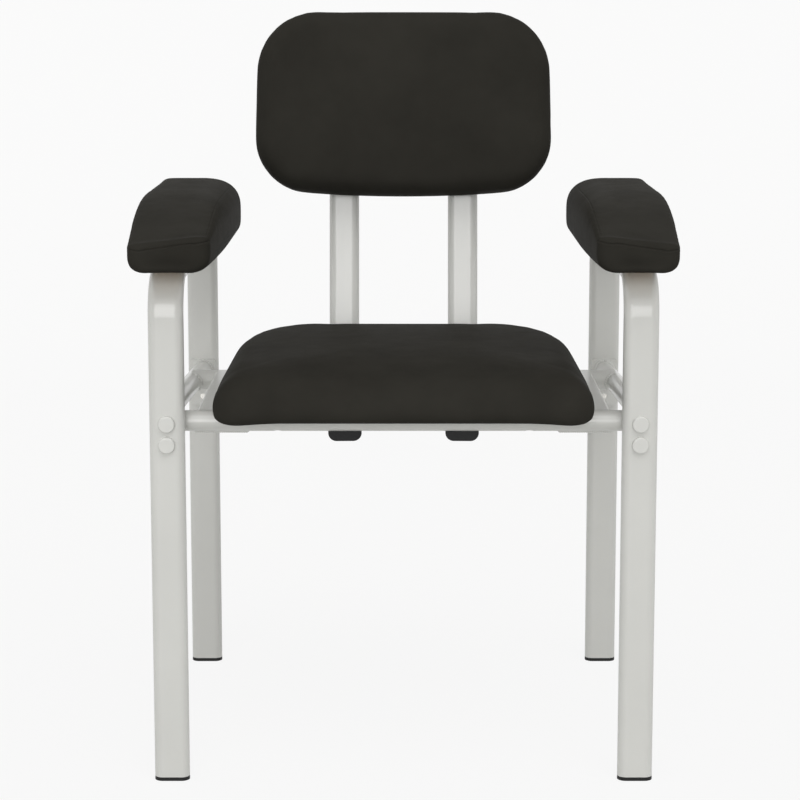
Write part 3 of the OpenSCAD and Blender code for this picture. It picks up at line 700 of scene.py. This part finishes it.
back_foam = foam_rings(back_skin_outline, back_hem, back_edge, back_t, back_crown, back_spare)
back = skin_through("back_pad", back_foam)
finish_skin(back, furthest=4 * MM, held_below=6 * MM)
cut_pocket(back, back_outline(back_board_margin - soft_gap), board_t + rear_panel_t)
panel_low, panel_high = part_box("backrest_rear_panel")
half_panel_h = back_h / 2 - back_board_margin
rear_face_middle = Vector((0, panel_high.y - half_panel_h * math.sin(recline),
                           panel_low.z + (half_panel_h + back_bow) * math.cos(recline)))
back_place = (Matrix.Translation(rear_face_middle) @ Matrix.Rotation(-recline, 4, "X")
              @ Matrix.Translation((0, -soft_gap, 0)) @ Matrix.Rotation(math.pi / 2, 4, "X"))
put_in_place(back, back_place, "backrest_cushion")
print("middle of the back's rear face:", [round(v, 4) for v in rear_face_middle])

# %% [markdown]
# ## The arm pads
#
# An arm pad is a long loaf whose front half slopes down to a low nose, so that a forearm can lie on
# it with the palm up. Its section changes along its length: at the nose it is low, square on top
# and tilted outwards, and further back it is tall, with a round inner edge where the sitter's elbow
# rests. So it is lofted along its length, one section after another, with a formula for each
# section.

# %% The shape of an arm pad
arm_low, arm_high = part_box("left_arm_cushion")
arm_w, arm_len = arm_high.x - arm_low.x, arm_high.y - arm_low.y
arm_h, arm_nose_h, arm_ramp_len, arm_blend_len = 74 * MM, 40 * MM, 157 * MM, 290 * MM
arm_nose_tilt, arm_nose_taper, arm_outer_bow = 11.5 * MM, 4.5 * MM, 2.5 * MM
arm_nose_r, arm_tail_r, arm_straight_share = 14 * MM, 22 * MM, 0.4
arm_nose_belly_share, arm_belly_share, arm_flat_share = 0.65, 0.45, 1.06
arm_nose_squareness = (12, 7, 2.9, 3.8)
arm_squareness = (15, 2.6, 5.2, 4.4)
arm_spare = 1.1 * MM


def arm_top(y):
    """Height of the top: a straight slope that rounds into a level."""
    s = max((y - arm_nose_r) / arm_ramp_len, 0)
    a = arm_straight_share
    if s >= a:
        s = s - (s - a) ** 2 / (4 * (1 - a)) if s < 2 - a else 1
    return arm_nose_h + (arm_h - arm_nose_h) * s


def arm_point(y, inset, turn):
    """A point of the section at y, at an angle round its middle."""
    nose = max(1 - y / arm_blend_len, 0) ** 2
    top = arm_top(y) - soft_gap
    belly = top * (arm_belly_share + (arm_nose_belly_share - arm_belly_share) * nose)
    quadrant = int(2 * turn / math.pi) % 4
    square = arm_squareness[quadrant]
    square += (arm_nose_squareness[quadrant] - square) * nose
    across, up = squared(math.cos(turn), square), squared(math.sin(turn), square)
    lift = (top - belly - arm_nose_tilt / 2 * nose * across) * up
    rise = lift if up > 0 else belly * max(up * arm_flat_share, -1)
    half_w = arm_w / 2 - arm_nose_taper * nose - inset + arm_spare
    if across > 0:
        half_w += arm_outer_bow * math.sin(math.pi * y / arm_len)
    return Vector((half_w * across, y, belly + rise * (1 - inset / arm_w)))


def arm_section(y, inset, count=96):
    return [arm_point(y, inset, 2 * math.pi * i / count) for i in range(count)]


ramp_end = arm_nose_r + arm_ramp_len * (2 - arm_straight_share)
ramp_steps = 24


def rounding(r, degrees):
    """How far a rounded end has come along a pad and how far it is drawn in, at some angles."""
    turns = [math.radians(a) for a in degrees]
    return [(r * (1 - math.sin(turn)), r * (1 - math.cos(turn))) for turn in turns]


arm_stations = (rounding(arm_nose_r, range(90, 0, -15))
                + [(arm_nose_r + (ramp_end - arm_nose_r) * i / ramp_steps, 0)
                   for i in range(ramp_steps + 1)]
                + [(arm_len - y, inset) for y, inset in rounding(arm_tail_r, range(0, 91, 15))])
print("stations along an arm pad:", len(arm_stations))

# %% [markdown]
# ## Seams
#
# The top of an arm pad is a panel of its own, sewn to the band round its sides. The seam shows as a
# thin dark valley with the vinyl a little puffed on both sides of it. A texture could paint that,
# but it would vanish in the outline and in the exported mesh, so the mesh is divided more finely
# beside the seam's path and pressed in along it.

# %% A helper for seams
def press_seam(piece, path, width, depth, between=16, puff=0.15):
    """Presses a valley into a skin along an open path that lies close to it."""
    mesh = bmesh.new()
    mesh.from_mesh(piece.data)
    surface = BVHTree.FromBMesh(mesh)
    on_skin = [surface.find_nearest(place)[0] for place in path]
    line = KDTree(len(on_skin) * between)
    for i, (here, there) in enumerate(zip(on_skin, on_skin[1:])):
        for k in range(between):
            line.insert(here.lerp(there, k / between), between * i + k)
    line.balance()
    for reach in (5 * width, 3 * width):
        near = {v for v in mesh.verts if line.find(v.co)[2] < reach}
        edges = [e for e in mesh.edges if e.verts[0] in near and e.verts[1] in near]
        bmesh.ops.subdivide_edges(mesh, edges=edges, cuts=1, use_grid_fill=True)
    mesh.normal_update()
    for v, normal in [(v, v.normal.copy()) for v in mesh.verts]:
        away = line.find(v.co)[2] / width
        if away < 4:
            v.co -= normal * depth * (math.exp(-away * away) - puff * math.exp(-(away - 2) ** 2))
    mesh.to_mesh(piece.data)
    mesh.free()
    piece.data.polygons.foreach_set("use_smooth", [True] * len(piece.data.polygons))


tail_seam_drop, nose_seam_drop = 3 * MM, 6 * MM


def arm_seam_paths():
    """One seam round the top panel from nose to tail and back, and one round the nose."""
    outer, inner = math.radians(45), math.radians(135)
    middle = [i * arm_len / 40 for i in range(2, 39)]
    corner = rounding(arm_nose_r, range(0, 90, 15))
    across = [inner - (inner - outer) * i / 12 for i in range(13)]
    nose = ([arm_point(y, inset, outer) for y, inset in corner]
            + [arm_point(0, arm_nose_r, outer + (inner - outer) * i / 12) for i in range(13)]
            + [arm_point(y, inset, inner) for y, inset in reversed(corner)])
    tail = [arm_point(arm_len, arm_tail_r, turn) - Vector((0, 0, tail_seam_drop))
            for turn in across]
    inner_side = [arm_point(y, 0, inner) for y in middle]
    outer_side = [arm_point(y, 0, outer) for y in reversed(middle)]
    return (inner_side + tail + outer_side,
            [place - Vector((0, 0, nose_seam_drop)) for place in nose])


print("points on an arm pad's seams:", [len(path) for path in arm_seam_paths()])

# %% [markdown]
# ## Two arm pads
#
# One pad is made for the left side and then mirrored for the right, so both are the same. It swells
# only a little, because its foam is firm. The vinyl is gathered under the nose, so it draws in
# there. The seams are pressed in after the even faces are made, because a remesh would wipe them
# out.

# %% Make the arm pads
def gather_nose(piece, rise=2.4 * MM, draw_in=3.6 * MM, fold_z=9 * MM, fold_half_h=8 * MM):
    """Draws the vinyl in and up below the middle of the nose, where the board gathers it."""
    half_w, high, deep = 24 * MM, 20 * MM, 18 * MM
    for v in piece.data.vertices:
        middle = math.exp(-(v.co.x / half_w) ** 2)
        low = max(1 - v.co.z / high, 0)
        front = max(1 - v.co.y / deep, 0)
        v.co.z += rise * middle * low * front
        v.co.y += draw_in * middle * front * math.exp(-((v.co.z - fold_z) / fold_half_h) ** 2)


left_arm = skin_through("left_arm_pad", [arm_section(y, inset) for y, inset in arm_stations])
finish_skin(left_arm, furthest=1.2 * MM, held_below=5 * MM, face_size=3.2 * MM, relaxing=1)
gather_nose(left_arm)
round_top, across_nose = arm_seam_paths()
press_seam(left_arm, round_top, width=0.9 * MM, depth=0.3 * MM)
press_seam(left_arm, across_nose, width=1.0 * MM, depth=0.85 * MM)
arm_board_side_margin, arm_board_end_margin, arm_board_corner_r = 22 * MM, 20 * MM, 12 * MM


def arm_board_outline(gap):
    half_w = arm_w / 2 - arm_board_side_margin + gap
    front, rear = arm_board_end_margin - gap, arm_len - arm_board_end_margin + gap
    r = arm_board_corner_r + gap
    corners = ((half_w - r, rear - r), (r - half_w, rear - r),
               (r - half_w, front + r), (half_w - r, front + r))
    return [place for i, (x, y) in enumerate(corners)
            for place in turned_corner(x, y, r, r, 90 * i)]


cut_pocket(left_arm, arm_board_outline(soft_gap), board_t)
right_arm = left_arm.copy()
right_arm.data = left_arm.data.copy()
right_arm.name = "right_arm_pad"
bpy.context.collection.objects.link(right_arm)
right_arm.data.transform(Matrix.Scale(-1, 4, (1, 0, 0)))
right_arm.data.flip_normals()
arm_x = (arm_low.x + arm_high.x) / 2
put_in_place(left_arm, Matrix.Translation((arm_x, arm_low.y, arm_low.z)), "left_arm_cushion")
put_in_place(right_arm, Matrix.Translation((-arm_x, arm_low.y, arm_low.z)), "right_arm_cushion")
print("arm pads:", len(left_arm.data.polygons), "faces each")

# %% [markdown]
# ## Weld beads
#
# The seat frame is welded before it is painted. A bead of weld is a row of small overlapping
# ripples in the corner between two tubes, and the paint rounds it off. A tube swept along the
# corner's path, whose radius swells and shrinks every few millimetres, gives that look and costs
# few faces. The paths follow from the tubes: a point on a crossbar's surface at an angle, and on a
# rail's surface beside it.

# %% A helper for weld beads
def even_steps(path, step):
    """Points at even distances along a path."""
    points, left_over = [path[0]], 0
    for here, there in zip(path, path[1:]):
        length = (there - here).length
        reached = step - left_over
        while reached <= length:
            points.append(here.lerp(there, reached / length))
            reached += step
        left_over = length - (reached - step)
    return points


def lay_bead(path, radius=2.1 * MM, ripple=2.6 * MM, sides=8):
    """One rippled bead along a path of (x, y, z), thinner at its ends."""
    points = even_steps([Vector(place) for place in path], ripple / 6)
    rings = []
    side = (points[1] - points[0]).orthogonal().normalized()
    for i, place in enumerate(points):
        ahead = (points[min(i + 1, len(points) - 1)] - points[max(i - 1, 0)]).normalized()
        side = (side - ahead * side.dot(ahead)).normalized()
        up = ahead.cross(side)
        from_end = min(i, len(points) - 1 - i)
        width = radius * (1 + 0.13 * math.sin(math.pi * i / 3)) * min(0.35 + from_end / 6, 1)
        turns = [2 * math.pi * k / sides for k in range(sides)]
        rings.append([place + width * (side * math.cos(t) + up * math.sin(t)) for t in turns])
    return skin_through("bead", rings)


def joined(name, pieces):
    """One piece from several."""
    together = bmesh.new()
    for piece in pieces:
        together.from_mesh(piece.data)
        bpy.data.objects.remove(piece)
    mesh = bpy.data.meshes.new(name)
    together.to_mesh(mesh)
    together.free()
    mesh.polygons.foreach_set("use_smooth", [True] * len(mesh.polygons))
    whole = bpy.data.objects.new(name, mesh)
    bpy.context.collection.objects.link(whole)
    return whole


print("weld helpers ready")

# %% [markdown]
# ## Beads at the side rails
#
# Round tubes meet in curves, so their beads are worked out from the tubes' radii. They run round
# both ends of a rail, where a crossbar meets it, and straight along the front leg bracket. Each
# path lies a little above the surfaces, so that the bead fills the corner between them.

# %% Weld the seat frame
tube_r, bead_lift = 12.5 * MM, 0.4 * MM
rail_x, bar_z, front_bar_y, rear_bar_y = 279 * MM, 434 * MM, -194.6 * MM, 99.4 * MM
rail_low, rail_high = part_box("left_side_rail")
rail_front_z, rail_rear_z = 449 * MM, 420 * MM


def rail_z(y):
    """Height of a side rail's centre line."""
    along = (y - rail_low.y) / (rail_high.y - rail_low.y)
    return rail_front_z + (rail_rear_z - rail_front_z) * along


def on_crossbar(x, bar_y, turn):
    """A point just above a crossbar's surface, at an angle from the rear."""
    r = tube_r + bead_lift
    return (x, bar_y + r * math.cos(math.radians(turn)), bar_z + r * math.sin(math.radians(turn)))


def rail_end(y, first, last):
    """Round a rail's end, between two angles from its top."""
    r = tube_r + bead_lift
    turns = [math.radians(first + (last - first) * i / 40) for i in range(41)]
    return [(rail_x + r * math.sin(turn), y, rail_z(y) + r * math.cos(turn)) for turn in turns]


def beside_rail(bar_y, turns, side):
    """Where a crossbar's surface meets a rail's, on the rail's inner or outer side."""
    path = []
    for turn in turns:
        x, y, z = on_crossbar(rail_x, bar_y, turn)
        across = (tube_r + bead_lift) ** 2 - (z - rail_z(y)) ** 2
        if across > 0:
            path.append((x + side * math.sqrt(across), y, z))
    return path


front_side = beside_rail(front_bar_y, range(150, 4, -3), -1)
crossbar_paths = [rail_end(rail_low.y + bead_lift, -135, 135),
                  rail_end(rail_high.y - bead_lift, 0, 360),
                  front_side + beside_rail(front_bar_y, range(7, 151, 3), 1),
                  beside_rail(rear_bar_y, range(42, -225, -3), -1)]
bracket_half_w, bracket_y, bracket_z = 17 * MM, front_bar_y - tube_r + 1.2 * MM, bar_z - 5.6 * MM
crossbar_paths.append([(rail_x + side * bracket_half_w, bracket_y, bracket_z) for side in (-1, 1)])
print("beads at a rail:", len(crossbar_paths))

# %% [markdown]
# ## Beads under the seat
#
# A seat bearer's end fits the inner side of a crossbar, and a backrest bar crosses under both
# crossbars. The right side is the mirror image of the left, and all the beads become one painted
# piece.

# %% Weld the bearers and the backrest bars
bearer_low, bearer_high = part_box("left_seat_bearer")
bearer_paths = []
for bar_y, turn_of in ((front_bar_y, lambda turn: turn), (rear_bar_y, lambda turn: 180 - turn)):
    bearer_paths.append([on_crossbar(x, bar_y, turn_of(turn)) for x, turns in
                         ((bearer_low.x - bead_lift, range(42, -85, -3)),
                          (bearer_high.x + bead_lift, range(-84, 43, 3))) for turn in turns])
back_bar_r, back_bar_top_z = 10 * MM, 429.5 * MM
back_bar_front_x, back_bar_rear_x = 70 * MM, 79 * MM


def over_back_bar(bar_x, bar_y, side, half_steps=13, step=1.5 * MM):
    """Across a flat-oval backrest bar, where its top meets a crossbar's underside."""
    path = []
    for i in range(-half_steps, half_steps + 1):
        u = step * i
        beyond_flat = max(abs(u) - back_bar_r, 0)
        drop = back_bar_r - math.sqrt(max(back_bar_r ** 2 - beyond_flat ** 2, 0))
        z = back_bar_top_z - drop
        out = math.sqrt((tube_r + bead_lift) ** 2 - (bar_z - z) ** 2)
        path.append((bar_x + u, bar_y + side * out, z))
    return path


back_bar_paths = [over_back_bar(back_bar_front_x, front_bar_y, 1),
                  over_back_bar(back_bar_rear_x, rear_bar_y, 1),
                  over_back_bar(back_bar_rear_x, rear_bar_y, -1)]
left_beads = crossbar_paths + bearer_paths + back_bar_paths
right_beads = [[(-x, y, z) for x, y, z in path] for path in left_beads]
welds = joined("weld_beads", [lay_bead(path) for path in left_beads + right_beads])
welds.data.materials.append(powder_coat)
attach(welds, "root")
print("beads:", len(left_beads + right_beads), "faces:", len(welds.data.polygons))

# %% [markdown]
# ## Staples
#
# The dust cloth under the seat is held by a row of wire staples just inside its edge. Nothing shows
# them from the front, but from below they say how the seat was made. Each is a flat crown of wire a
# centimetre long with cut corners, pressed half into the cloth, and no two lie quite in line,
# because a staple gun is held by hand. Where a tube lies against the cloth there are none.

# %% Staple the dust cloth
def staple(x, y, z, turn):
    """One staple's crown, turned about its middle."""
    half_l, half_w, cut, sunk, proud = 5 * MM, 0.6 * MM, 0.35 * MM, 0.35 * MM, 0.25 * MM
    quarter = [(half_l, half_w - cut), (half_l - cut, half_w),
               (cut - half_l, half_w), (-half_l, half_w - cut)]
    crown = prism("staple", quarter + [(-a, -b) for a, b in quarter], -sunk, proud)
    crown.data.flip_normals()
    crown.data.transform(Matrix.Translation((x, y, z)) @ Matrix.Rotation(turn, 4, "Z"))
    return crown


staple_step, staple_inset, tube_clearance = 27 * MM, 7 * MM, 17 * MM
hand_turn, hand_changes_per_metre = 0.3, 40
cloth_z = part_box("seat_under_cloth")[0].z
seat_middle_y = (seat_low.y + seat_high.y) / 2
staple_line = seat_outline(seat_board_margin + staple_inset)
edge_line = [Vector((x, y + seat_middle_y, cloth_z)) for x, y in staple_line]
places = even_steps(edge_line + edge_line[:1], staple_step)
staples = []
for here, there in zip(places, places[1:]):
    if here.y < front_bar_y - tube_clearance or here.y > rear_bar_y + tube_clearance:
        along = math.atan2(there.y - here.y, there.x - here.x)
        by_hand = hand_turn * noise.noise(here * hand_changes_per_metre)
        staples.append(staple(*here, along + by_hand))
staple_count = len(staples)
staple_row = joined("seat_staples", staples)
staple_row.data.polygons.foreach_set("use_smooth", [False] * len(staple_row.data.polygons))
staple_row.data.materials.append(zinc)
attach(staple_row, "root")
print("staples:", staple_count)
